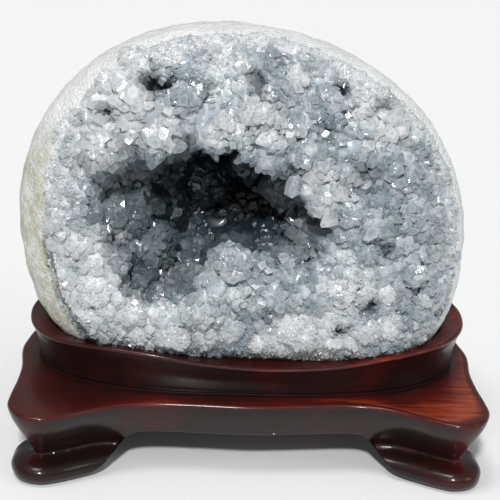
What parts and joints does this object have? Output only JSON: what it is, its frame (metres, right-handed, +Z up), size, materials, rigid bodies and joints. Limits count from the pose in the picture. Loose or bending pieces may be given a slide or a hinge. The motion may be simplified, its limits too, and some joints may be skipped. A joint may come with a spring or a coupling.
{
  "type": "celestite geode on a carved stand",
  "caption": "Egg-shaped celestite geode, opened at the front to show a pale blue crystal-lined hollow, seated in a lobed, footed hardwood stand.",
  "frame": {"origin": "on the surface the stand rests on, under the middle of the stand", "axes": "+X to the right along the stand, +Y to the back, +Z up; the opened face looks along -Y and leans back"},
  "size_m": [0.2542, 0.165, 0.2248],
  "materials": {
    "hardwood": "dark red-brown stained hardwood under a glossy lacquer",
    "matrix_rock": "pale grey, fine-grained rock with greenish yellow stains, matt",
    "celestite": "milky to pale blue-grey translucent crystals with glassy faces"
  },
  "bodies": {
    "root": {"stand": "hardwood", "geode_rock": "matrix_rock", "crystal_crust": "celestite"}
  },
  "joints": []
}
